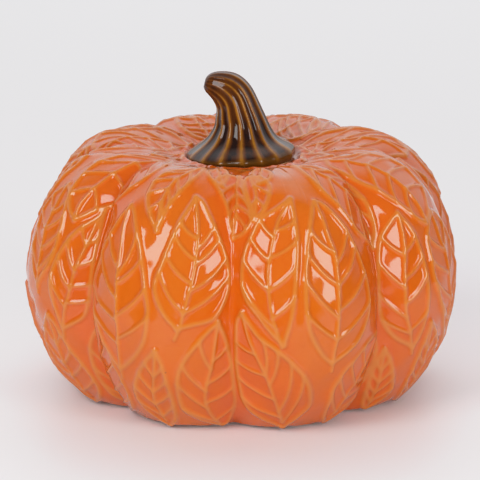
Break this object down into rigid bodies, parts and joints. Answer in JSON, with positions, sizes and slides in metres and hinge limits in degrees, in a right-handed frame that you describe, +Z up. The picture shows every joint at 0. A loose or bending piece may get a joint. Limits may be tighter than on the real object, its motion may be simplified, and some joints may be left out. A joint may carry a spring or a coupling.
{
  "type": "ceramic pumpkin figure",
  "caption": "Hollow glazed ceramic pumpkin with rounded lobes in raised leaf relief and a fluted brown stem bent at the tip, a free-standing autumn table decoration.",
  "frame": {"origin": "on the table surface, under the centre of the body", "axes": "+Z up through the stem seat; -Y faces the front, along the groove between the two front lobes; +X to the right seen from the front; the stem's tip leans to -X"},
  "size_m": [0.2162, 0.2162, 0.1642],
  "materials": {
    "orange_glaze": "glossy orange glaze, thinner and tan on raised lines, deeper orange where it pools",
    "brown_glaze": "glossy reactive brown glaze, amber on the ribs and near black in the flutes",
    "fired_slip": "matt fired clay slip",
    "pad_felt": "short brown pressed felt"
  },
  "bodies": {
    "root": {"body_shell": "orange_glaze", "stem": "brown_glaze", "slip_seam": "fired_slip", "felt_pad_front": "pad_felt", "felt_pad_right": "pad_felt", "felt_pad_back": "pad_felt", "felt_pad_left": "pad_felt"}
  },
  "joints": []
}
